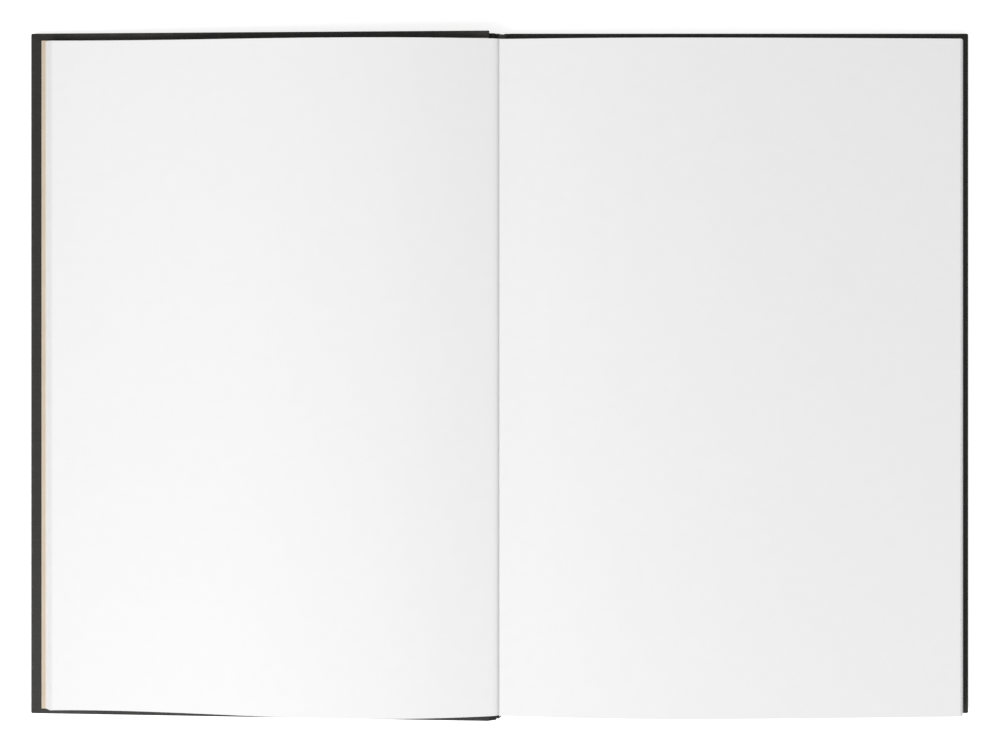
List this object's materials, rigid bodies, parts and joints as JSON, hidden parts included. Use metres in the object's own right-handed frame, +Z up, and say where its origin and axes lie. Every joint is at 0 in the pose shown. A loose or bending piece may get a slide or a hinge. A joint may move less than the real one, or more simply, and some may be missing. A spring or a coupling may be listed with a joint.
{
  "type": "hardcover notebook",
  "caption": "Hardcover notebook lying open near its front: black cloth-covered boards on cloth joints, cream endpapers and blank white leaves swelling to a gutter.",
  "frame": {"origin": "on the table, at the middle of the open notebook's outline", "axes": "+X across the open pages to the back cover, +Y up the pages to their head, +Z up from the table"},
  "size_m": [0.295, 0.214, 0.0144],
  "materials": {
    "leaves": "matt, uncoated",
    "endpaper": "matt, uncoated",
    "board": "raw greyboard",
    "lining": "open gauze",
    "cover_cloth": "satin black book cloth"
  },
  "bodies": {
    "back_cover": {"back_board": "board", "back_cloth": "cover_cloth", "back_pastedown": "endpaper"},
    "block": {"text_block": "leaves", "back_flyleaf": "endpaper", "spine_lining": "lining", "spine_strip": "board", "spine_cloth": "cover_cloth"},
    "front_cover": {"front_board": "board", "front_cloth": "cover_cloth", "front_pastedown": "endpaper", "front_flyleaf": "endpaper", "left_leaves": "leaves"}
  },
  "joints": [
    {"name": "front_joint", "type": "hinge", "parent": "block", "child": "front_cover", "pos_m": [-0.00184, 0, 0.00821], "axis": [0, 1, 0], "range_deg": [0, 75]},
    {"name": "back_joint", "type": "hinge", "parent": "back_cover", "child": "block", "pos_m": [0.00174, 0, 0.00017], "axis": [0, -1, 0], "range_deg": [0, 60]}
  ]
}
